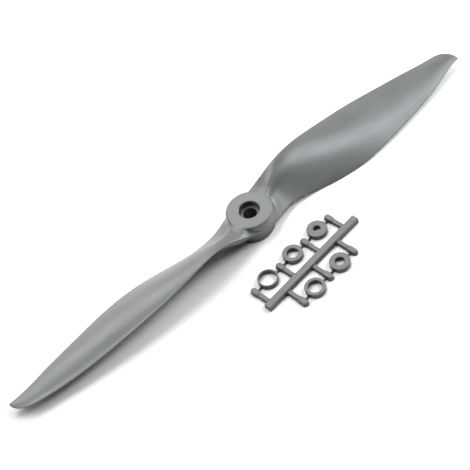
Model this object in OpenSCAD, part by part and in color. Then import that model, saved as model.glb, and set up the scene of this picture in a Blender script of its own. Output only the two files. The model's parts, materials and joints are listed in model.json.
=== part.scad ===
// Two-blade moulded propeller with its set of adapter rings still on the sprue.
// Origin on the shaft axis in the hub's rear face. +Z leaves the front face, +X runs out along one blade.

/* [Propeller] */
// Tip-to-tip diameter, 10 inches
prop_d = 254; // [220:1:280]
// Geometric pitch, the advance in one turn
pitch = 172; // [120:1:200]
// Widest spread of the leading edge ahead of the blade axis
lead_y = 13.2; // [11.5:0.1:15]
// Widest spread of the trailing edge behind the blade axis
trail_y = 11.1; // [9:0.1:12.5]
// Blade thickness as a share of the chord
blade_t = 0.115; // [0.09:0.005:0.14]
// Height of the mean line above the chord, as a share of the chord
camber = 0.03; // [0.02:0.005:0.06]

/* [Hub] */
// Hub diameter
hub_d = 20.4; // [19:0.1:22]
// Hub thickness
hub_h = 10.5; // [10:0.1:11.5]
// Shaft bore diameter
bore_d = 6; // [5:0.05:6.5]
// Diameter of the recess that takes an adapter ring
recess_d = 9.1; // [9.05:0.01:9.2]
// Depth of the recess below the front face
recess_h = 2.6; // [2.5:0.1:3]
// Lead-in chamfer round the recess
recess_c = 0.35; // [0.2:0.05:0.5]
// Chamfer round the hub's edges
hub_c = 0.4; // [0.2:0.05:0.6]

/* [Adapter rings] */
// Ring outside diameter
ring_d = 9; // [8.6:0.05:9]
// Ring height
ring_h = 2.5; // [2:0.1:2.6]
// Bores of the three rings in the front row, from the end with the short overhang
front_bores = [7.5, 5, 3.175]; // [2:0.005:7.8]
// Bores of the two rings in the rear row
rear_bores = [6, 4]; // [2:0.005:7.8]
// Chamfer on the ring edges
ring_c = 0.2; // [0.1:0.05:0.3]

/* [Sprue] */
// Distance of the runner's middle from the shaft axis, along the blades
sprue_x = 3.83; // [-20:0.01:20]
// Distance of the runner's middle from the blade axis, behind the trailing edge
sprue_gap = 34.83; // [30:0.01:60]
// Angle of the runner to the blades
sprue_angle = 7.5; // [0:0.5:15]
// Distance between neighbouring rings in one row
ring_pitch = 15.64; // [14:0.02:18]
// Distance of each row of rings from the middle of the runner
row_y = 9.37; // [9:0.05:11]
// First ring of the front row, along the runner
front_x = -17.4; // [-18:0.1:-16]
// First ring of the rear row, along the runner
rear_x = -9.07; // [-10:0.1:-8]
// Runner length
runner_l = 56.3; // [54:0.1:64]
// Runner width at its base and across its top
runner_w = [3.7, 3.1]; // [2.8:0.1:4]
// Runner height
runner_h = 2.6; // [2:0.1:3]
// Arm width
arm_w = 2.5; // [2:0.1:2.8]
// Arm height
arm_h = 1.7; // [1.4:0.1:2]
// How far the arms of the front and rear rows reach past the ring centres
arm_reach = [2.4, 2.8]; // [2:0.1:3.4]
// Pad diameter at the arm ends
pad_w = 3.1; // [2.8:0.1:3.4]
// Pad height
pad_h = 2; // [1.8:0.1:2.4]
// Width and height of the thin gates that held each ring
gate = [0.9, 0.8]; // [0.6:0.1:1.2]
// Clearance between a parted gate and its ring
gate_gap = 0.02; // [0.01:0.01:0.05]

/* [Hidden] */
plastic = [0.52, 0.54, 0.54];
tip_r = prop_d / 2;
hub_r = hub_d / 2;
axis_z = hub_h / 2;      // height of the blade axis where it leaves the hub
root_fade = 1.3 * hub_r; // radius at which the thick root has mostly faded into the blade
root_t = 7.4;            // thickness of the root bar inside the hub
washout_r = 1.1 * hub_d;  // radius inboard of which the twist eases off
root_x = -1.5;           // both blades run past the axis, inside the hub
skin = 0.02;             // the root stays this far inside the hub's faces
blunt = 0.985;           // share of the bar's outline kept at its rear edge
spans = 28;              // stations along a blade
chords = 12;             // points from leading to trailing edge on each side of a section
cut = 1;                 // overshoot of a cutting tool

// Smooth curve through [x, y] keys, flat beyond its ends
function slope(k, i) = (i == 0 || i == len(k) - 1) ? 0
    : (k[i + 1].y - k[i - 1].y) / (k[i + 1].x - k[i - 1].x);
function hermite(a, b, ma, mb, t) = let (d = b.x - a.x)
    (2 * t ^ 3 - 3 * t ^ 2 + 1) * a.y + (t ^ 3 - 2 * t ^ 2 + t) * d * ma
    + (3 * t ^ 2 - 2 * t ^ 3) * b.y + (t ^ 3 - t ^ 2) * d * mb;
function smooth(k, x, i = 0) = x <= k[0].x ? k[0].y
    : i > len(k) - 2 ? k[len(k) - 1].y
    : x > k[i + 1].x ? smooth(k, x, i + 1)
    : hermite(k[i], k[i + 1], slope(k, i), slope(k, i + 1), (x - k[i].x) / (k[i + 1].x - k[i].x));

// Planform: the leading edge leaves the hub along its tangent, bulges, then rounds back to the tip
lead_keys = [[0, hub_r - 0.2], [12, hub_r - 0.3], [20, hub_r - 0.1], [40, 12.4], [60, lead_y], [80, 12.7],
             [100, 11.3], [tip_r + 8, 7.2]];
trail_keys = [[0, hub_r - 0.2], [9, 8.3], [19, 6.3], [30, 7.0], [44, 9.8], [58, trail_y], [74, 9.9],
              [90, 7.4], [105, 4.7], [tip_r, 0]];
// Height of the blade axis: rising out of the hub, with a slight wave along the blade
height_keys = [[0, axis_z + 0.15], [10, axis_z + 0.45], [20, axis_z + 1.35], [32, axis_z + 1.15],
               [45, axis_z + 0.95], [70, axis_z + 0.4], [90, axis_z - 0.9], [110, axis_z - 1.5],
               [tip_r, axis_z - 0.6]];
tip_start = tip_r - 9;
tip_round = function (r) r < tip_start ? 1 : (1 - ((r - tip_start) / (tip_r - tip_start)) ^ 2.5) ^ 0.5;
least_chord = 0.9;
function lead(r) = max(smooth(lead_keys, r) * tip_round(r), least_chord);
function trail(r) = -smooth(trail_keys, r);
function height(r) = smooth(height_keys, r);

// Constant pitch outboard, washed out towards the hub
function rise(r) = r < 1 ? 0 : pitch * (1 - exp(-((r / washout_r) ^ 2.5))) / (2 * PI * r);
// 1 inside the hub, 0 out on the blade
function root(r) = exp(-((abs(r) / root_fade) ^ 4));
function chord(r) = (lead(r) - trail(r)) * sqrt(1 + rise(r) ^ 2);

// Half-thickness over the chord: an aerofoil on the blade, a full rounded bar at the root
function foil(s) = 5 * (0.2969 * s ^ 0.5 - 0.126 * s - 0.3516 * s ^ 2 + 0.2843 * s ^ 3 - 0.1015 * s ^ 4) + 0.07 * s;
function bar(s) = (1 - abs(2 * blunt * s - 1) ^ 3) ^ (1 / 3);
function half_t(r, s) = foil(s) * blade_t * chord(r) * (1 - root(r)) + bar(s) * root_t / 2 * root(r);
function mean(r, s) = camber * 4 * s * (1 - s) * chord(r) * (1 - root(r));

// One point of a section: s runs from the leading edge to the trailing edge, side is 1 above and -1 below.
// The root stays between the hub's faces.
function over_face(r) = max(0, r - hub_r) * 0.6;
function foil_point(r, s, side) = let (
        k = rise(r), n = 1 / sqrt(1 + k ^ 2), y = lead(r) + s * (trail(r) - lead(r)),
        off = mean(r, s) + side * half_t(r, s))
    [r, y - off * k * n, max(skin, min(height(r) + y * k + off * n, hub_h - skin + over_face(r)))];

function station(i) = root_x + (tip_r - root_x) * (1 - cos(180 * i / spans)) / 2;
function ease(j) = (1 - cos(180 * j / chords)) / 2;
function section(r) = concat(
    [for (j = [0 : chords]) foil_point(r, ease(j), 1)],
    [for (j = [chords : -1 : 1]) foil_point(r, ease(j), -1)]);

module blade() {
    ring = 2 * chords + 1;
    points = [for (i = [0 : spans]) each section(station(i))];
    sides = [for (i = [0 : spans - 1], j = [0 : ring - 1]) let (
            a = i * ring + j, b = i * ring + (j + 1) % ring)
        each [[b + ring, b, a], [a + ring, b + ring, a]]];
    polyhedron(points, concat([[for (j = [0 : ring - 1]) j]], sides,
                              [[for (j = [ring - 1 : -1 : 0]) spans * ring + j]]));
}

// Solid of revolution with a small chamfer on both outer edges
module chamfered_disc(d, h, c) {
    rotate_extrude($fn = 96)
        polygon([[0, 0], [d / 2 - c, 0], [d / 2, c], [d / 2, h - c], [d / 2 - c, h], [0, h]]);
}

module propeller() {
    color(plastic) difference() {
        union() {
            chamfered_disc(hub_d, hub_h, hub_c);
            for (turn = [0, 180]) rotate([0, 0, turn]) blade();
        }
        translate([0, 0, -cut]) cylinder(d = bore_d, h = hub_h + 2 * cut, $fn = 64);
        translate([0, 0, hub_h - recess_h]) cylinder(d = recess_d, h = recess_h + cut, $fn = 96);
        translate([0, 0, hub_h - recess_c])
            cylinder(d1 = recess_d, d2 = recess_d + 2 * (recess_c + cut), h = recess_c + cut, $fn = 96);
    }
}

module at_sprue() {
    translate([sprue_x, -sprue_gap, 0]) rotate([0, 0, sprue_angle]) children();
}

module adapter_ring(row, i) {
    x = (row > 0 ? front_x : rear_x) + i * ring_pitch;
    bore = row > 0 ? front_bores[i] : rear_bores[i];
    color(plastic) at_sprue() translate([x, row * row_y, 0]) difference() {
        chamfered_disc(ring_d, ring_h, ring_c);
        translate([0, 0, -cut]) cylinder(d = bore, h = ring_h + 2 * cut, $fn = 64);
    }
}

// Arms stand midway between the rings of their row, and one past each end ring
module arm(x, row, reach) {
    end = row_y + reach;
    turn = row > 0 ? 0 : 180;
    translate([x, 0, 0]) rotate([0, 0, turn]) {
        translate([-arm_w / 2, 0, 0]) cube([arm_w, end - pad_w / 2, arm_h]);
        for (y = [row_y - pad_w / 4, end - pad_w / 2])
            translate([0, y, 0]) cylinder(d = pad_w, h = pad_h, $fn = 48);
        translate([-pad_w / 2, row_y - pad_w / 4, 0])
            cube([pad_w, end - pad_w / 2 - row_y + pad_w / 4, pad_h]);
    }
}

module gate_pair(x, row) {
    inner = ring_d / 2 + gate_gap;
    for (side = [-1, 1])
        translate([x + side * (inner + ring_pitch / 2) / 2, row * row_y, gate.y / 2])
            cube([ring_pitch / 2 - inner, gate.x, gate.y], center = true);
}

module runner() {
    rotate([90, 0, 90]) translate([0, 0, -runner_l / 2])
        linear_extrude(runner_l)
            polygon([[-runner_w[0] / 2, 0], [runner_w[0] / 2, 0], [runner_w[1] / 2, runner_h],
                     [-runner_w[1] / 2, runner_h]]);
}

module ring_sprue() {
    color(plastic) at_sprue() difference() {
        union() {
            runner();
            for (i = [0 : len(front_bores)])
                arm(front_x + (i - 0.5) * ring_pitch, 1, arm_reach[0]);
            for (i = [0 : len(rear_bores)])
                arm(rear_x + (i - 0.5) * ring_pitch, -1, arm_reach[1]);
            for (i = [0 : len(front_bores) - 1]) gate_pair(front_x + i * ring_pitch, 1);
            for (i = [0 : len(rear_bores) - 1]) gate_pair(rear_x + i * ring_pitch, -1);
        }
        // parted gate ends follow the ring wall
        for (i = [0 : len(front_bores) - 1])
            translate([front_x + i * ring_pitch, row_y, -cut])
                cylinder(d = ring_d + 2 * gate_gap, h = runner_h + 2 * cut, $fn = 96);
        for (i = [0 : len(rear_bores) - 1])
            translate([rear_x + i * ring_pitch, -row_y, -cut])
                cylinder(d = ring_d + 2 * gate_gap, h = runner_h + 2 * cut, $fn = 96);
    }
}

propeller();
ring_sprue();
adapter_ring(1, 0);  // adapter_ring_7_5mm
adapter_ring(1, 1);  // adapter_ring_5mm
adapter_ring(1, 2);  // adapter_ring_3mm
adapter_ring(-1, 0);  // adapter_ring_6mm
adapter_ring(-1, 1);  // adapter_ring_4mm
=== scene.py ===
import json
import math

import bpy
import numpy as np
from mathutils import Matrix, Vector


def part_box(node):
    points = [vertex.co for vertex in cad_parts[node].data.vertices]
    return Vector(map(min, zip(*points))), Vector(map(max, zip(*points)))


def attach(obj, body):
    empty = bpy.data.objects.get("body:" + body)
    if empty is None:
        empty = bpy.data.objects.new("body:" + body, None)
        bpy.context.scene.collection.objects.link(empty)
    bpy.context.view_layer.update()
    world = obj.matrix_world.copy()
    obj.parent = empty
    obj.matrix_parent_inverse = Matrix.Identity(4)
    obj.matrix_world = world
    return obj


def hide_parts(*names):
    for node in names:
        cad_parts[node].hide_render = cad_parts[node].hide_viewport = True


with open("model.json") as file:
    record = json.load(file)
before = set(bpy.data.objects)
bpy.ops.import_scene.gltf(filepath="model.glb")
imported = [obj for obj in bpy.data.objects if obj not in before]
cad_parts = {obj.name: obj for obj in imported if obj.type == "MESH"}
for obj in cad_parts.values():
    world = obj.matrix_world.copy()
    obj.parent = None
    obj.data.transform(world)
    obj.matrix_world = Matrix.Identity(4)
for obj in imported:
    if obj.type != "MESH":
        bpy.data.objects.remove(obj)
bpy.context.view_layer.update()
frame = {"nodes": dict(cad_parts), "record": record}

# The looks of a two-blade moulded propeller and its sprue of adapter rings.
# Everything is worked out in millimetres and turned into metres when a mesh is made.
MM = 0.001

# ---------------------------------------------------------------- sizes from the frame
MOUNTS = {m["name"]: m for m in frame["record"]["mounts"]}


def mount_radius(name):
    return MOUNTS[name]["dims"]["r_mm"]


def mount_place(name):
    return np.array(MOUNTS[name]["pos_m"]) / MM


TIP_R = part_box("propeller")[1].x / MM
HUB_H = mount_place("hub_front_face")[2]
BORE_R = mount_radius("shaft_bore")
RECESS_R = mount_radius("ring_recess")
RECESS_FLOOR = MOUNTS["shaft_bore"]["dims"]["length_mm"]
RING_NODES = sorted(n for n in frame["nodes"] if n.startswith("adapter_ring_"))
RING_LOW, RING_HIGH = (np.array(c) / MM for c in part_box(RING_NODES[0]))
RING_R = (RING_HIGH[0] - RING_LOW[0]) / 2
RING_H = RING_HIGH[2] - RING_LOW[2]

# ---------------------------------------------------------------- shape of the propeller
HUB_R = 10.2
PITCH = 172.0
WASHOUT_R = 22.44        # inside about this radius the twist eases off towards the hub
WASHOUT_POWER = 2.5
CAMBER = 0.03            # height of the aerofoil's mean line, as a share of the chord
THICKNESS = 0.1          # its thickness, likewise
BENCH = 0.02             # the blade's lowest point stays this far above the hub's rear face
BENCH_BLEND = 0.3
TIP_START = TIP_R - 9    # the leading edge curves in from here to the tip
TIP_POWER = 2.5
TIP_THINS = 1.2          # over this last stretch the section thins to a rounded end
LEAST_LEAD = 0.9         # the leading edge stays this far in front of the blade's axis
# pairs of distance along the blade and distance from its axis: leading edge and trailing edge
LEAD_KEYS = [(0, 10.0), (12, 9.9), (20, 10.1), (40, 12.4), (60, 13.2), (80, 12.7), (100, 11.3), (135, 7.2)]
TRAIL_KEYS = [(0, 10.0), (9, 8.3), (13, 7.0), (19, 5.6), (25, 6.0), (30, 6.8), (44, 9.8), (58, 11.1),
              (74, 9.9), (90, 7.4), (105, 4.7), (127, 0)]
# height of the blade's axis over the bench
HEIGHT_KEYS = [(0, 5.4), (10, 5.7), (20, 6.6), (32, 6.4), (45, 6.2), (70, 5.65), (90, 4.35), (110, 3.75),
               (127, 4.65)]
# half the thickness of the blunt leading and trailing edges, at most EDGE_SHARE of the chord
NOSE_KEYS = [(8, 0.7), (18, 0.5), (27, 0.3), (36, 0.24)]
TAIL_KEYS = [(10, 0.8), (18, 0.55), (27, 0.3), (36, 0.26)]
EDGE_SHARE = 0.2
# the root: how far its back stands over the chord, how deep the back's hollow is, where its ridge lies as a
# share of the chord, and how deep the belly hangs
RIDGE_KEYS = [(0, 3.6), (5, 3.9), (8, 4.4), (10, 3.5), (12, 2.7), (14, 2.2), (16.5, 1.8), (19, 1.55),
              (24, 1.35), (32, 1.6)]
DIP_KEYS = [(9, 0.3), (12, 0.5), (15, 0.75), (19, 0.6), (23, 0.3), (28, 0)]
RIDGE_AT_KEYS = [(0, 0.42), (5, 0.42), (8, 0.34), (12, 0.35), (14, 0.3), (16.5, 0.26), (19, 0.24), (24, 0.26),
                 (32, 0.3)]
BELLY_KEYS = [(0, 4.6), (9, 4.2), (13, 3.6), (18, 2.6), (24, 1.6), (32, 0.8)]
BELLY_AT = 0.3           # where the belly is deepest
RIDGE_EDGE = 3           # higher is crisper
BEND = 0.69              # the root's back falls steeply from its ridge, and less from this share on
BEND_BLEND = 0.12
NOSE_ROUND = 0.15        # how much the root's back rounds over at the nose
ARCH_FRONT, ARCH_BACK = 0.8, 1.15       # powers of the aerofoil's thickness towards the nose and the tail
ROOT_START, ROOT_END = 16.0, 34.0       # the root's shape fades into the aerofoil between these radii


def keyed(keys, x):
    """Smooth curve through (x, y) keys, level beyond its ends."""
    k = np.array(keys, float)
    slope = np.zeros(len(k))
    slope[1:-1] = (k[2:, 1] - k[:-2, 1]) / (k[2:, 0] - k[:-2, 0])
    i = np.clip(np.searchsorted(k[:, 0], x) - 1, 0, len(k) - 2)
    d = k[i + 1, 0] - k[i, 0]
    t = np.clip((x - k[i, 0]) / d, 0, 1)
    return ((2 * t**3 - 3 * t**2 + 1) * k[i, 1] + (t**3 - 2 * t**2 + t) * d * slope[i]
            + (3 * t**2 - 2 * t**3) * k[i + 1, 1] + (t**3 - t**2) * d * slope[i + 1])


def smoothstep(a, b, x):
    t = np.clip((x - a) / (b - a), 0, 1)
    return t * t * (3 - 2 * t)


def smooth_min(a, b, k):
    h = np.maximum(k - np.abs(a - b), 0) / np.maximum(k, 1e-6)
    return np.minimum(a, b) - h**3 * k / 6


def smooth_max(a, b, k):
    return -smooth_min(-a, -b, k)


def blade_edges(r):
    """Leading edge y, trailing edge y, height of the axis and rise per unit y at the radii r."""
    share = np.clip((r - TIP_START) / (TIP_R - TIP_START), 0, 1)
    lead = np.maximum(keyed(LEAD_KEYS, r) * np.sqrt(np.maximum(1 - share**TIP_POWER, 0)), LEAST_LEAD)
    trail = -keyed(TRAIL_KEYS, r)
    washed = 1 - np.exp(-((r / WASHOUT_R) ** WASHOUT_POWER))
    rise = PITCH * washed / (2 * math.pi * np.maximum(r, 1))
    return lead, trail, keyed(HEIGHT_KEYS, r), rise


def arch(s):
    """Half thickness along the chord: 0 at both ends and 0.5 at its thickest."""
    peak = ARCH_FRONT / (ARCH_FRONT + ARCH_BACK)
    return 0.5 * (s / peak) ** ARCH_FRONT * ((1 - s) / (1 - peak)) ** ARCH_BACK


def tent(s, top, dip=0.0):
    """Rises from the nose to a soft ridge at s = top and falls to the tail, with a hollow dip deep at BEND.

    The ridge is about 1 high."""
    front = NOSE_ROUND * np.sqrt(s / top) + (1 - NOSE_ROUND) * s / top + 1e-6
    back = (1 - s) / (1 - top) + 1e-6
    back = smooth_max(1 - (1 + dip / (1 - BEND)) * (1 - back), (1 - dip / BEND) * back, BEND_BLEND)
    return (front**-RIDGE_EDGE + back**-RIDGE_EDGE) ** (-1 / RIDGE_EDGE) * 2 ** (1 / RIDGE_EDGE)


# one section is a loop: over the back from nose to tail, round the blunt tail, and back along the belly
SIDE_STEPS = 44
TURN_STEPS = 6
NOSE_SHARE = 0.3         # this much of the spacing is closer at the nose only, the rest at both ends
NOSE_CROWDING = 1.6


def section_loop():
    """The loop's positions as (s, side, angle).

    s runs from 0 to 1 along the chord. side is 1 on the back, -1 on the belly, and 0 on the round nose and
    tail, where the angle counts."""
    ease = (1 - np.cos(np.linspace(0, math.pi, SIDE_STEPS + 1))) / 2
    ease = (1 - NOSE_SHARE) * ease + NOSE_SHARE * np.linspace(0, 1, SIDE_STEPS + 1) ** NOSE_CROWDING
    turn = np.linspace(math.pi / 2, -math.pi / 2, TURN_STEPS + 1)[1:-1]
    flat, none = np.ones(len(ease)), np.zeros(len(turn))
    s = np.concatenate([ease, none + 1, ease[::-1], none])
    side = np.concatenate([flat, none, -flat, none])
    angle = np.concatenate([flat * 0, turn, flat * 0, turn - math.pi])
    return s, side, angle


LOOP_S, LOOP_SIDE, LOOP_ANGLE = section_loop()


def sections(r):
    """The (y, z) loops of the blade's sections at the radii r, as an array [radius, point, 2]."""
    r = np.atleast_1d(np.asarray(r, float))
    lead, trail, height, rise = (a[:, None] for a in blade_edges(r))
    flat = 1 / np.sqrt(1 + rise**2)
    chord = (lead - trail) / flat
    rr = r[:, None]
    nose = np.minimum(keyed(NOSE_KEYS, rr), EDGE_SHARE * chord)
    tail = np.minimum(keyed(TAIL_KEYS, rr), EDGE_SHARE * chord)
    run = chord - nose - tail
    s, side, angle = LOOP_S[None], LOOP_SIDE[None], LOOP_ANGLE[None]
    # the aerofoil out on the blade
    edge = nose + (tail - nose) * s
    mean = CAMBER * 4 * s * (1 - s) * chord
    half = arch(s) * THICKNESS * chord + edge
    # the root: a ridged back and a deep belly
    ridge = keyed(RIDGE_KEYS, rr)
    back = ridge * tent(s, keyed(RIDGE_AT_KEYS, rr), keyed(DIP_KEYS, rr) / ridge) + edge
    belly = keyed(BELLY_KEYS, rr) * tent(s, BELLY_AT) + edge
    root = 1 - smoothstep(ROOT_START, ROOT_END, rr)
    over = (mean + half) * (1 - root) + back * root
    under = (half - mean) * (1 - root) + belly * root
    off = np.where(side > 0, over, np.where(side < 0, -under, edge * np.sin(angle)))
    along = nose + s * run + np.where(side == 0, edge * np.cos(angle), 0)
    # the outermost tip thins to a rounded end
    end = np.clip((rr - (TIP_R - TIP_THINS)) / TIP_THINS, 0, 1)
    off = off * np.sqrt(np.maximum(1 - end**2, 0.0))
    # chord direction runs from nose to tail, and the normal points up
    y = lead - along * flat - off * rise * flat
    z = height + lead * rise - along * rise * flat + off * flat
    return np.stack([y, smooth_max(z, BENCH, BENCH_BLEND)], axis=-1)


def loop_distance(y, z, loops):
    """Distance from the points (y, z) to one closed loop, or to one loop for each point; negative inside."""
    ay, az = loops[..., 0].astype(np.float32), loops[..., 1].astype(np.float32)
    by, bz = np.roll(ay, -1, axis=1), np.roll(az, -1, axis=1)
    ey, ez = by - ay, bz - az
    py = y.astype(np.float32)[:, None] - ay
    pz = z.astype(np.float32)[:, None] - az
    t = np.clip((py * ey + pz * ez) / np.maximum(ey * ey + ez * ez, 1e-12), 0, 1)
    gap = (py - t * ey) ** 2 + (pz - t * ez) ** 2
    # crossings of a ray towards +y
    over = (pz < 0) != (pz < ez)
    beyond = (py * ez < pz * ey) == (ez > 0)
    odd = np.count_nonzero(over & beyond, axis=1) % 2
    return np.sqrt(gap.min(axis=1)) * np.where(odd == 1, -1, 1)


LEAD_FILLET = 1.6        # reach of the blend between hub wall and blade, on the leading edge's side
TRAIL_FILLET = 3.2       # and on the trailing edge's side
FILLET_SIDES = (3, -4)   # y where the first reach ends and the second begins
FILLET_GROWS = (0.5, 8)  # the blend grows to its full reach between these x
RIM_BLEND = 1.1          # reach of the rounding on the hub's front rim
RIM_EASE = 0.4           # it shrinks by this share over the roots
RIM_EASES = (9, 14)      # between these x
FOOT_BLEND = 1.6         # reach of the rounding on its rear edge
TOP_FLAT_R = 12.0        # the front face runs out level over the roots up to here, and then curves up
TOP_CURVE = 0.15         # rise per square millimetre beyond it
CHUNK = 3000             # points worked out at a time


def core_field(p, loop=None):
    """Negative inside the hub with its two blade roots. The half at negative x is the other half turned over.
    Points that share one x may bring that section's loop along."""
    turned = np.where(p[:, 0] < 0, -1.0, 1.0)
    x, y, z = p[:, 0] * turned, p[:, 1] * turned, p[:, 2]
    rho = np.hypot(x, y)
    hub = smooth_max(rho - HUB_R, -z, FOOT_BLEND)
    blade = np.empty(len(x))
    for i in range(0, len(x), CHUNK):
        cut = slice(i, i + CHUNK)
        blade[cut] = loop_distance(y[cut], z[cut], sections(x[cut]) if loop is None else loop)
    fillet = LEAD_FILLET + (TRAIL_FILLET - LEAD_FILLET) * smoothstep(*FILLET_SIDES, y)
    both = smooth_min(hub, blade, fillet * smoothstep(*FILLET_GROWS, x))
    top = HUB_H + TOP_CURVE * np.maximum(rho - TOP_FLAT_R, 0) ** 2
    return smooth_max(both, z - top, RIM_BLEND * (1 - RIM_EASE * smoothstep(*RIM_EASES, x)))


# ---------------------------------------------------------------- mesh tools
def surface_net(values, origin, step):
    """Quads of values = 0 on a regular grid, with one vertex in each cell that the surface crosses."""
    inside = values < 0
    cells = tuple(n - 1 for n in values.shape)
    total = np.zeros(cells + (4,))
    edges = []
    for axis in range(3):
        first = [slice(None)] * 3
        second = [slice(None)] * 3
        first[axis] = slice(0, -1)
        second[axis] = slice(1, None)
        v0, v1 = values[tuple(first)], values[tuple(second)]
        crossed = np.argwhere(inside[tuple(first)] != inside[tuple(second)])
        a, b = v0[tuple(crossed.T)], v1[tuple(crossed.T)]
        place = crossed.astype(float)
        place[:, axis] += a / (a - b)
        u, w = [(axis + 1) % 3, (axis + 2) % 3]
        around = []
        for du, dw in ((-1, -1), (0, -1), (0, 0), (-1, 0)):
            cell = crossed.copy()
            cell[:, u] += du
            cell[:, w] += dw
            ok = np.all((cell >= 0) & (cell < np.array(cells)), axis=1)
            np.add.at(total, tuple(cell[ok].T), np.c_[place[ok], np.ones(ok.sum())])
            around.append((cell, ok))
        edges.append((around, a < 0))
    used = total[..., 3] > 0
    number = np.full(cells, -1)
    number[used] = np.arange(used.sum())
    cell_of = np.argwhere(used)
    points = origin + total[used][:, :3] / total[used][:, 3:] * step
    quads = []
    for around, outward in edges:
        ok = np.all([o for _, o in around], axis=0)
        quad = np.stack([number[tuple(c[ok].T)] for c, _ in around], -1)
        quads.append(np.where(outward[ok][:, None], quad, quad[:, ::-1]))
    return points, np.concatenate(quads), cell_of


PROBE = 0.03             # step for measuring a field's slope
LEAST_SLOPE = 0.05       # squared; keeps a move short where a field is nearly level


def settle(field, p, rounds, reach, held=()):
    """Moves points onto field = 0, at most reach each round; held axes stay as they are."""
    for _ in range(rounds):
        value = field(p)
        g = np.stack([(field(p + PROBE * axis) - value) / PROBE for axis in np.eye(3)], axis=-1)
        g[:, list(held)] = 0
        move = -value[:, None] * g / np.maximum((g * g).sum(-1), LEAST_SLOPE)[:, None]
        size = np.linalg.norm(move, axis=1, keepdims=True)
        p = p + move * np.minimum(1, reach / np.maximum(size, 1e-9))
    return p


def boundary_loops(faces):
    """Closed loops of vertex numbers along the mesh's open edges, in the faces' own direction."""
    count = {}
    for face in faces:
        for i, a in enumerate(face):
            b = face[(i + 1) % len(face)]
            count[(a, b)] = count.get((a, b), 0) + 1
    step = {a: b for (a, b) in count if (b, a) not in count}
    loops = []
    while step:
        start, b = next(iter(step.items()))
        loop = [start]
        del step[start]
        while b != start:
            loop.append(b)
            b = step.pop(b)
        loops.append(loop)
    return loops


def zip_loops(outer, outer_t, inner, inner_t):
    """Triangles between two loops. Both run the same way, with t growing from 0 to 1 along each."""

    def ordered(loop, t):
        start = int(np.argmin(t))
        loop = list(loop[start:]) + list(loop[:start])
        t = list(t[start:]) + list(t[:start])
        return loop + loop[:1], t + [t[0] + 1]

    a, ta = ordered(outer, outer_t)
    b, tb = ordered(inner, inner_t)
    i = j = 0
    faces = []
    while i < len(a) - 1 or j < len(b) - 1:
        if j == len(b) - 1 or (i < len(a) - 1 and ta[i + 1] < tb[j + 1]):
            faces.append((a[i + 1], a[i], b[j]))
            i += 1
        else:
            faces.append((a[i], b[j], b[j + 1]))
            j += 1
    return faces


def make_piece(name, points, faces, sharp_deg=40):
    """A smooth-shaded mesh object from points in millimetres; edges sharper than sharp_deg stay crisp."""
    mesh = bpy.data.meshes.new(name)
    mesh.from_pydata((np.asarray(points) * MM).tolist(), [], [tuple(map(int, f)) for f in faces])
    mesh.validate()
    mesh.shade_smooth()
    mesh.set_sharp_from_angle(angle=math.radians(sharp_deg))
    piece = bpy.data.objects.new(name, mesh)
    bpy.context.scene.collection.objects.link(piece)
    return piece


def rounded(corners, radii, steps=5):
    """A 2-D outline with each corner replaced by an arc of its radius. The ends of an open outline stay."""
    out = [np.array(corners[0], float)]
    for i in range(1, len(corners) - 1):
        a, b, c = (np.array(corners[k], float) for k in (i - 1, i, i + 1))
        u, v = (a - b) / np.linalg.norm(a - b), (c - b) / np.linalg.norm(c - b)
        half = math.acos(np.clip(u @ v, -1, 1)) / 2
        reach = radii[i] / math.tan(half)
        middle = (u + v) / np.linalg.norm(u + v)
        centre = b + middle * radii[i] / math.sin(half)
        p, q = b + u * reach - centre, b + v * reach - centre
        swing = math.pi - 2 * half
        for k in range(steps + 1):
            w = k / steps
            out.append(centre + (p * math.sin((1 - w) * swing) + q * math.sin(w * swing)) / math.sin(swing))
    out.append(np.array(corners[-1], float))
    return np.array(out)


def lathe(outline, count, closed):
    """Points and quads of an outline of (radius, z) turned about Z."""
    turn = np.linspace(0, 2 * math.pi, count, endpoint=False)
    r, z = outline[:, 0], outline[:, 1]
    points = np.stack([np.outer(np.cos(turn), r), np.outer(np.sin(turn), r), np.tile(z, (count, 1))], -1)
    m = len(outline)
    faces = []
    for i in range(count):
        for j in range(m if closed else m - 1):
            k, n = (j + 1) % m, (i + 1) % count
            faces.append((i * m + j, n * m + j, n * m + k, i * m + k))
    return points.reshape(-1, 3), faces


# ---------------------------------------------------------------- propeller
CORE_X = 17.0            # the core reaches this far out; a loft continues each blade
CORE_STEP = 0.24
CORE_CELLS = (143, 93, 64)
CORE_BELOW = 5.7         # the grid begins this many half steps under the bench; this one nets without pinches
CORE_ROUNDS = 2
EYE_R = 7.0              # inside this radius a turned piece with the recess and the bore replaces the core
EYE_MARGIN = 0.5         # room between the two, which a band of triangles fills
EYE_COUNT = 160
RECESS_CHAMFER = 0.35
STEP_CHAMFER = 0.15
FOOT_CHAMFER = 0.3
FLOOR_ROUND = 0.15       # rounding of the recess's inner corner
CHAMFER_ROUND = 0.12
STEP_ROUND = 0.08
STATIONS = 190           # sections in each loft, closer together towards the tip
TIP_CROWDING = 1.7
LOFT_GAP = 0.25          # room between core and loft
LAST_GAP = 0.004         # the last section lies this far inside the tip
HALF_TURN = np.array([-1.0, -1.0, 1.0])


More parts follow.
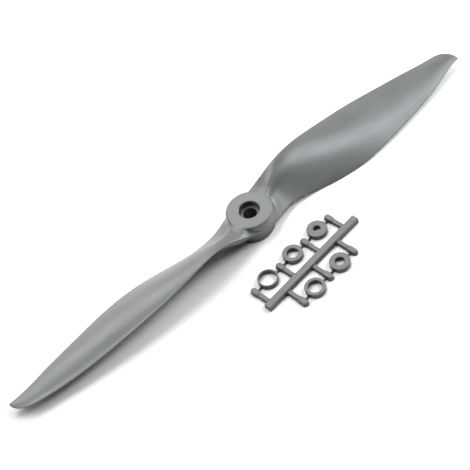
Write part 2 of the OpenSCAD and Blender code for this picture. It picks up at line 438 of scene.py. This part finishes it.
def core_mesh():
    """Hub and both roots as one skin, open at x = +-CORE_X and round the eye."""
    cells = np.array(CORE_CELLS)
    low = np.array([-cells[0], -cells[1], -CORE_BELOW]) * CORE_STEP / 2
    grid = [low[i] + CORE_STEP * np.arange(cells[i] + 1) for i in range(3)]
    values = np.empty([len(g) for g in grid])
    y, z = (g.ravel() for g in np.meshgrid(grid[1], grid[2], indexing="ij"))
    half = len(grid[0]) // 2
    for i in range(half, len(grid[0])):
        x = grid[0][i]
        plane = np.stack([np.full(len(y), x), y, z], -1)
        values[i] = core_field(plane, sections(x)).reshape(len(grid[1]), -1)
    values[:half] = values[half:][::-1, ::-1]
    points, quads, cell = surface_net(values, low, CORE_STEP)
    end = (cell[:, 0] == 0) | (cell[:, 0] == cells[0] - 1)
    points[end, 0] = np.sign(points[end, 0]) * CORE_X
    points[~end] = settle(core_field, points[~end], CORE_ROUNDS, CORE_STEP)
    points[end] = settle(core_field, points[end], CORE_ROUNDS, CORE_STEP, held=(0,))
    points[:, 2] = np.maximum(points[:, 2], 0)
    eye = np.hypot(points[:, 0], points[:, 1]) < EYE_R
    return points, quads[~eye[quads].all(axis=1)]


def loft_mesh():
    """One blade from CORE_X to its tip, closed at the tip."""
    share = 1 - (1 - np.linspace(0, 1, STATIONS)) ** TIP_CROWDING
    r = CORE_X + LOFT_GAP + (TIP_R - CORE_X - LOFT_GAP - LAST_GAP) * share
    loops = sections(r)
    m = loops.shape[1]
    points = np.concatenate([np.repeat(r, m)[:, None], loops.reshape(-1, 2)], axis=1)
    faces = []
    for i in range(STATIONS - 1):
        for j in range(m):
            k = (j + 1) % m
            faces.append((i * m + j, i * m + k, (i + 1) * m + k, (i + 1) * m + j))
    tip = np.array([[TIP_R, *loops[-1].mean(0)]])
    last = (STATIONS - 1) * m
    faces += [(last + j, last + (j + 1) % m, STATIONS * m) for j in range(m)]
    return np.concatenate([points, tip]), faces


def eye_mesh():
    """Recess and bore: a turned skin from the front face down to the rear face."""
    edge = EYE_R - EYE_MARGIN
    corners = [
        (edge, HUB_H),
        (RECESS_R + RECESS_CHAMFER, HUB_H),
        (RECESS_R, HUB_H - RECESS_CHAMFER),
        (RECESS_R, RECESS_FLOOR),
        (BORE_R + STEP_CHAMFER, RECESS_FLOOR),
        (BORE_R, RECESS_FLOOR - STEP_CHAMFER),
        (BORE_R, FOOT_CHAMFER),
        (BORE_R + FOOT_CHAMFER, 0),
        (edge, 0),
    ]
    radii = [0, CHAMFER_ROUND, CHAMFER_ROUND, FLOOR_ROUND, STEP_ROUND, STEP_ROUND,
             CHAMFER_ROUND, CHAMFER_ROUND, 0]
    return lathe(rounded(corners, radii), EYE_COUNT, closed=False)


def turn_share(p):
    """Where points lie round the hub's axis, from 0 to 1."""
    return (np.arctan2(p[:, 1], p[:, 0]) / (2 * math.pi)) % 1


def loop_share(p):
    """Where points near the section at CORE_X lie along it, from 0 to 1."""
    loop = sections(CORE_X)[0]
    following = np.roll(loop, -1, axis=0)
    ab = following - loop
    size = np.linalg.norm(ab, axis=1)
    begin = np.concatenate([[0], np.cumsum(size)[:-1]])
    t = np.clip(((p[:, None, 1:] - loop) * ab).sum(-1) / (size**2), 0, 1)
    gap = np.linalg.norm(p[:, None, 1:] - loop - t[..., None] * ab, axis=-1)
    best = gap.argmin(1)
    pick = np.arange(len(p))
    return ((begin[best] + t[pick, best] * size[best]) / size.sum()) % 1


def bridge(points, outer, inner, share):
    """Faces between an open edge of one skin and an open edge of another, matched by share(points)."""
    inner = inner[::-1]
    ta, tb = share(points[outer]), share(points[inner])
    drift = (np.diff(np.append(ta, ta[0])) + 0.5) % 1 - 0.5
    if drift.sum() < 0:
        ta, tb = (-ta) % 1, (-tb) % 1
    return zip_loops(outer, ta, inner, tb)


def spun_share(side):
    """How bridge matches edges: by angle round the eye (side 0), and along the section at a blade's root."""
    if side == 0:
        return turn_share
    spin = HALF_TURN if side < 0 else 1
    return lambda p: loop_share(p * spin)


def make_propeller():
    points, quads = core_mesh()
    faces = [tuple(q) for q in quads]
    rims = boundary_loops(faces)
    blade_points, blade_faces = loft_mesh()
    added = [(1, blade_points, blade_faces), (-1, blade_points * HALF_TURN, blade_faces), (0, *eye_mesh())]
    for side, more, more_faces in added:
        base = len(points)
        points = np.concatenate([points, more])
        fresh = [tuple(base + v for v in f) for f in more_faces]
        faces += fresh
        for loop in boundary_loops(fresh):
            middle = points[loop].mean(0)
            near = min(rims, key=lambda rim: np.linalg.norm(points[rim].mean(0) - middle))
            faces += bridge(points, near, loop, spun_share(side))
    return make_piece("propeller_skin", points, faces)


propeller = make_propeller()
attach(propeller, "propeller")
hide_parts("propeller")

# ---------------------------------------------------------------- adapter rings
RING_COUNT = 128
RIM_ROUND = 0.28         # outer edge of the top
BORE_ROUND = 0.18        # both edges of the bore
RING_FOOT_ROUND = 0.2    # outer edge of the bottom
RING_DRAFT = 0.04        # each wall leans in by this much from top to bottom


def make_ring(node):
    size = node.replace("adapter_ring_", "")
    bore = mount_radius(f"ring_{size}_bore")
    x, y, _ = mount_place(f"ring_{size}_bore")
    middle = (bore + RING_R) / 2
    corners = [(middle, 0), (RING_R - RING_DRAFT, 0), (RING_R, RING_H),
               (bore, RING_H), (bore + RING_DRAFT, 0), (middle, 0)]
    radii = [0, RING_FOOT_ROUND, RIM_ROUND, BORE_ROUND, BORE_ROUND, 0]
    outline = rounded(corners, radii)[:-1]
    points, faces = lathe(outline, RING_COUNT, closed=True)
    ring = make_piece("ring_" + size, points + np.array([x, y, 0]), faces)
    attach(ring, node)
    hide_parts(node)
    return ring


rings = [make_ring(node) for node in RING_NODES]

# ---------------------------------------------------------------- sprue
FRONT_X = -17.4          # first ring of the front row, along the runner from its middle
REAR_X = -9.07           # first ring of the rear row
RUNNER_L = 56.3
RUNNER_BASE, RUNNER_TOP, RUNNER_H = 3.7, 3.1, 2.6       # width at the bottom, width at the top, height
ARM_BASE, ARM_TOP, ARM_H = 2.5, 1.9, 1.75
ARM_SHIFT = 1.0          # an arm begins this far beyond the runner's middle and ends as far inside its pad
BAR_ROUND = 0.3
PAD_R, PAD_H = 1.5, 2.05
PAD_START = 8.4          # an end pad runs from here to the arm's full reach
PAD_DRAFT = 0.07
PAD_BLEND = 1.3          # rounding of a pad's top
PAD_FILLET = 0.9         # reach of the blend from arm to pad
ARM_FILLET = 0.7         # and from runner to arm
FRONT_REACH, REAR_REACH = 11.77, 12.17
GATE_BASE, GATE_TOP, GATE_H = 0.9, 0.7, 0.8
GATE_ROUND = 0.15
GATE_FILLET = 0.35
GATE_GAP = 0.02          # room between a gate and its ring
SPRUE_STEP = 0.17
SPRUE_ROUNDS = 3
SPRUE_MARGIN = np.array([0.6, 0.6, 0.5])


def sprue_frame():
    """Origin, direction along the runner, direction towards the front row, ring pitch and row distance."""
    front = [mount_place(f"ring_{n}_bore")[:2] for n in ("7_5mm", "5mm", "3mm")]
    rear = mount_place("ring_6mm_bore")[:2]
    along = front[2] - front[0]
    pitch = np.linalg.norm(along) / 2
    along /= np.linalg.norm(along)
    across = np.array([-along[1], along[0]])
    row = (front[0] - rear) @ across / 2
    return front[0] - FRONT_X * along - row * across, along, across, pitch, row


SPRUE_AT, ALONG, ACROSS, RING_PITCH, ROW_Y = sprue_frame()


def bar_field(u, v, z, half_l, base, top, height, round_r):
    """A drafted bar along u with rounded edges, standing on the bench."""
    half_w = (base + (top - base) * z / height) / 2 - round_r
    du = np.abs(u) - half_l + round_r
    dv = np.abs(v) - half_w
    dz = np.abs(z - height / 2) - height / 2 + round_r
    out = np.sqrt(np.maximum(du, 0) ** 2 + np.maximum(dv, 0) ** 2 + np.maximum(dz, 0) ** 2)
    return out + np.minimum(np.maximum(np.maximum(du, dv), dz), 0) - round_r


def sprue_field(p):
    """Negative inside the sprue, in its own frame: x along the runner, y towards the front row."""
    x, y, z = p.T
    body = bar_field(x, y, z, RUNNER_L / 2, RUNNER_BASE, RUNNER_TOP, RUNNER_H, BAR_ROUND)
    wall = np.full(len(x), np.inf)
    for side, first, count, reach in ((1, FRONT_X, 3, FRONT_REACH), (-1, REAR_X, 2, REAR_REACH)):
        yy = y * side
        for i in range(count + 1):
            ax = first + (i - 0.5) * RING_PITCH
            middle = reach / 2 - ARM_SHIFT
            arm = bar_field(yy - middle, x - ax, z, reach / 2, ARM_BASE, ARM_TOP, ARM_H, BAR_ROUND)
            end = np.hypot(x - ax, yy - np.clip(yy, PAD_START, reach - PAD_R)) - PAD_R + PAD_DRAFT * z
            pad = smooth_max(end, z - PAD_H, PAD_BLEND)
            body = smooth_min(body, smooth_min(arm, pad, PAD_FILLET), ARM_FILLET)
        for i in range(count):
            cx = first + i * RING_PITCH
            gate = bar_field(x - cx, yy - ROW_Y, z, RING_PITCH / 2, GATE_BASE, GATE_TOP, GATE_H, GATE_ROUND)
            body = smooth_min(body, gate, GATE_FILLET)
            wall = np.minimum(wall, np.hypot(x - cx, yy - ROW_Y) - RING_R - GATE_GAP)
    return np.maximum(np.maximum(body, -wall), -z)


def make_sprue():
    low = np.array([-RUNNER_L / 2, -REAR_REACH, 0]) - SPRUE_MARGIN
    high = np.array([RUNNER_L / 2, FRONT_REACH, RUNNER_H]) + SPRUE_MARGIN
    grid = [np.arange(low[i], high[i], SPRUE_STEP) for i in range(3)]
    x, y, z = (g.ravel() for g in np.meshgrid(*grid, indexing="ij"))
    values = sprue_field(np.stack([x, y, z], -1)).reshape([len(g) for g in grid])
    points, quads, _ = surface_net(values, low, SPRUE_STEP)
    points = settle(sprue_field, points, SPRUE_ROUNDS, SPRUE_STEP)
    points[:, 2] = np.maximum(points[:, 2], 0)
    place = SPRUE_AT + points[:, :1] * ALONG + points[:, 1:2] * ACROSS
    sprue = make_piece("sprue_skin", np.c_[place, points[:, 2]], quads)
    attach(sprue, "ring_sprue")
    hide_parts("ring_sprue")
    return sprue


sprue = make_sprue()


# ---------------------------------------------------------------- material
# noise scales, from broad to fine, per metre
CLOUD_SCALE = 45
SHEEN_SCALE = 160
STREAK_SCALE = 700
SPECK_SCALE = 2600
GRAIN_SCALE = 3200
EVENLY = (1, 1, 1)
STREAKS = (0.12, 1, 1)   # a noise squeezed along X looks drawn out along the blades
SHEENS = (0.3, 1, 1)
GRAIN_STRENGTH = 0.25
GRAIN_DEPTH = 0.00003
NYLON_IOR = 1.53
# painted shade: ambient occlusion darkens the base colour in corners, creases and hollows; its reach, samples
# and power
PAINTED_SHADE_REACH = 0.006     # metres
PAINTED_SHADE_SAMPLES = 8
PAINTED_SHADE_POWER = 2.2       # higher is darker


def nylon(name, base, rough):
    """Glass-filled nylon: satin, faintly mottled, with flow streaks, a fine moulded grain and painted shade
    that darkens its base colour in corners and hollows.
    """
    mat = bpy.data.materials.new(name)
    mat.use_nodes = True
    tree = mat.node_tree
    nodes, links = tree.nodes, tree.links
    shader = nodes["Principled BSDF"]
    place = nodes.new("ShaderNodeTexCoord").outputs["Object"]

    def noise(stretch, scale, detail, roughness=0.5):
        mapping = nodes.new("ShaderNodeMapping")
        mapping.inputs["Scale"].default_value = stretch
        links.new(place, mapping.inputs["Vector"])
        texture = nodes.new("ShaderNodeTexNoise")
        texture.inputs["Scale"].default_value = scale
        texture.inputs["Detail"].default_value = detail
        texture.inputs["Roughness"].default_value = roughness
        links.new(mapping.outputs["Vector"], texture.inputs["Vector"])
        return texture.outputs["Fac"]

    def ranged(value, low, high):
        """The middle of a noise's range spread over low to high."""
        spread = nodes.new("ShaderNodeMapRange")
        spread.inputs["From Min"].default_value = 0.3
        spread.inputs["From Max"].default_value = 0.7
        spread.inputs["To Min"].default_value = low
        spread.inputs["To Max"].default_value = high
        links.new(value, spread.inputs["Value"])
        return spread.outputs["Result"]

    def times(a, b):
        product = nodes.new("ShaderNodeMath")
        product.operation = "MULTIPLY"
        links.new(a, product.inputs[0])
        links.new(b, product.inputs[1])
        return product.outputs[0]

    def painted_hollow_shade():
        """Painted shade: a factor on the base colour, 1 in the open and less in corners and hollows that
        little light reaches.
        """
        hollow = nodes.new("ShaderNodeAmbientOcclusion")
        hollow.samples = PAINTED_SHADE_SAMPLES
        hollow.inputs["Distance"].default_value = PAINTED_SHADE_REACH
        painted_shade = nodes.new("ShaderNodeMath")
        painted_shade.operation = "POWER"
        painted_shade.inputs[1].default_value = PAINTED_SHADE_POWER
        links.new(hollow.outputs["AO"], painted_shade.inputs[0])
        return painted_shade.outputs[0]

    cloud = ranged(noise(EVENLY, CLOUD_SCALE, 3), 0.96, 1.04)
    streak = ranged(noise(STREAKS, STREAK_SCALE, 4, 0.6), 0.965, 1.035)
    speck = ranged(noise(EVENLY, SPECK_SCALE, 2), 0.95, 1.05)
    # random tone of cloud, streaks and specks, times the painted shade of corners and hollows
    shade = times(times(times(cloud, streak), speck), painted_hollow_shade())
    tint = nodes.new("ShaderNodeMix")
    tint.data_type = "RGBA"
    tint.blend_type = "MULTIPLY"
    tint.inputs["Factor"].default_value = 1
    tint.inputs["A"].default_value = (*base, 1)
    links.new(shade, tint.inputs["B"])
    links.new(tint.outputs["Result"], shader.inputs["Base Color"])
    sheen = ranged(noise(SHEENS, SHEEN_SCALE, 3), rough - 0.04, rough + 0.05)
    links.new(sheen, shader.inputs["Roughness"])
    shader.inputs["IOR"].default_value = NYLON_IOR
    bump = nodes.new("ShaderNodeBump")
    bump.inputs["Strength"].default_value = GRAIN_STRENGTH
    bump.inputs["Distance"].default_value = GRAIN_DEPTH
    links.new(noise(EVENLY, GRAIN_SCALE, 3, 0.6), bump.inputs["Height"])
    links.new(bump.outputs["Normal"], shader.inputs["Normal"])
    return mat


propeller.data.materials.append(nylon("blade_nylon", (0.146, 0.155, 0.15), 0.34))
ring_nylon = nylon("ring_nylon", (0.138, 0.143, 0.14), 0.4)
for piece in [sprue, *rings]:
    piece.data.materials.append(ring_nylon)

# ---------------------------------------------------------------- floor, light and camera
# everything from here on is in metres, except for the camera's place
FLOOR = 0.7              # half its side
PAPER = (0.975, 0.945, 0.92, 1)
PAPER_ROUGHNESS = 0.9
LAMP_FAR = 1.6           # from each lamp to the hub
PLAIN = (1, 1, 0.99)
COOL = (0.86, 0.94, 1)
# name, azimuth and elevation in degrees (azimuth 0 is the -Y side), side of the square, watts, colour
LAMPS = [
    ("window", 58, 52, 0.5, 10, COOL),
    ("side", 90, 22, 0.7, 24, PLAIN),
    ("left", -120, 50, 0.7, 8, PLAIN),
    ("rear_low", 180, 22, 0.7, 6, PLAIN),
    ("rear_high", 150, 50, 0.7, 6.5, PLAIN),
    ("top", 195, 72, 0.6, 9, PLAIN),
]
ROOM_GLOW = 0.06
CAMERA_AZIMUTH = -25.73
CAMERA_ELEVATION = 50.92
CAMERA_ROLL = -17.12
CAMERA_DISTANCE = 448.9  # millimetres, as is LOOK_AT
CAMERA_LENS = 79.58
LOOK_AT = Vector((-9.07, 1.50, 0))


def make_floor():
    mesh = bpy.data.meshes.new("floor")
    corners = [(-FLOOR, -FLOOR, 0), (FLOOR, -FLOOR, 0), (FLOOR, FLOOR, 0), (-FLOOR, FLOOR, 0)]
    mesh.from_pydata(corners, [], [(0, 1, 2, 3)])
    paper = bpy.data.materials.new("paper")
    paper.use_nodes = True
    shader = paper.node_tree.nodes["Principled BSDF"]
    shader.inputs["Base Color"].default_value = PAPER
    shader.inputs["Roughness"].default_value = PAPER_ROUGHNESS
    mesh.materials.append(paper)
    floor = bpy.data.objects.new("floor", mesh)
    bpy.context.scene.collection.objects.link(floor)


def away(azimuth, elevation):
    """Unit vector from the hub towards a lamp or a camera at azimuth and elevation in degrees."""
    a, e = math.radians(azimuth), math.radians(elevation)
    return Vector((math.sin(a) * math.cos(e), -math.cos(a) * math.cos(e), math.sin(e)))


def make_lamp(name, azimuth, elevation, size, power, colour):
    """A square soft light that faces the hub."""
    back = away(azimuth, elevation)
    data = bpy.data.lights.new(name, "AREA")
    data.size = size
    data.energy = power
    data.color = colour
    lamp = bpy.data.objects.new(name, data)
    lamp.location = back * LAMP_FAR
    lamp.rotation_mode = "QUATERNION"
    lamp.rotation_quaternion = (-back).to_track_quat("-Z", "Y")
    bpy.context.scene.collection.objects.link(lamp)


def make_room():
    """The camera sees a white room, and the pieces see a nearly dark one."""
    room = bpy.data.worlds.new("studio")
    room.use_nodes = True
    nodes, links = room.node_tree.nodes, room.node_tree.links
    sky = nodes["Background"]
    sky.inputs["Color"].default_value = (1, 1, 1, 1)
    ray = nodes.new("ShaderNodeLightPath")
    glow = nodes.new("ShaderNodeMapRange")
    glow.inputs["To Min"].default_value = ROOM_GLOW
    links.new(ray.outputs["Is Camera Ray"], glow.inputs["Value"])
    links.new(glow.outputs["Result"], sky.inputs["Strength"])
    return room


def make_camera():
    back = away(CAMERA_AZIMUTH, CAMERA_ELEVATION)
    a, roll = math.radians(CAMERA_AZIMUTH), math.radians(CAMERA_ROLL)
    right = Vector((math.cos(a), math.sin(a), 0))
    up = back.cross(right)
    x_axis = math.cos(roll) * right + math.sin(roll) * up
    y_axis = back.cross(x_axis)
    data = bpy.data.cameras.new("camera")
    data.lens = CAMERA_LENS
    data.sensor_width = 36
    data.clip_start = 0.01
    camera = bpy.data.objects.new("camera", data)
    turn = Matrix((x_axis, y_axis, back)).transposed().to_4x4()
    place = (LOOK_AT + back * CAMERA_DISTANCE) * MM
    camera.matrix_world = Matrix.Translation(place) @ turn
    bpy.context.scene.collection.objects.link(camera)
    return camera


make_floor()
for lamp in LAMPS:
    make_lamp(*lamp)
bpy.context.scene.world = make_room()
bpy.context.scene.view_settings.view_transform = "Standard"
bpy.context.scene.camera = make_camera()
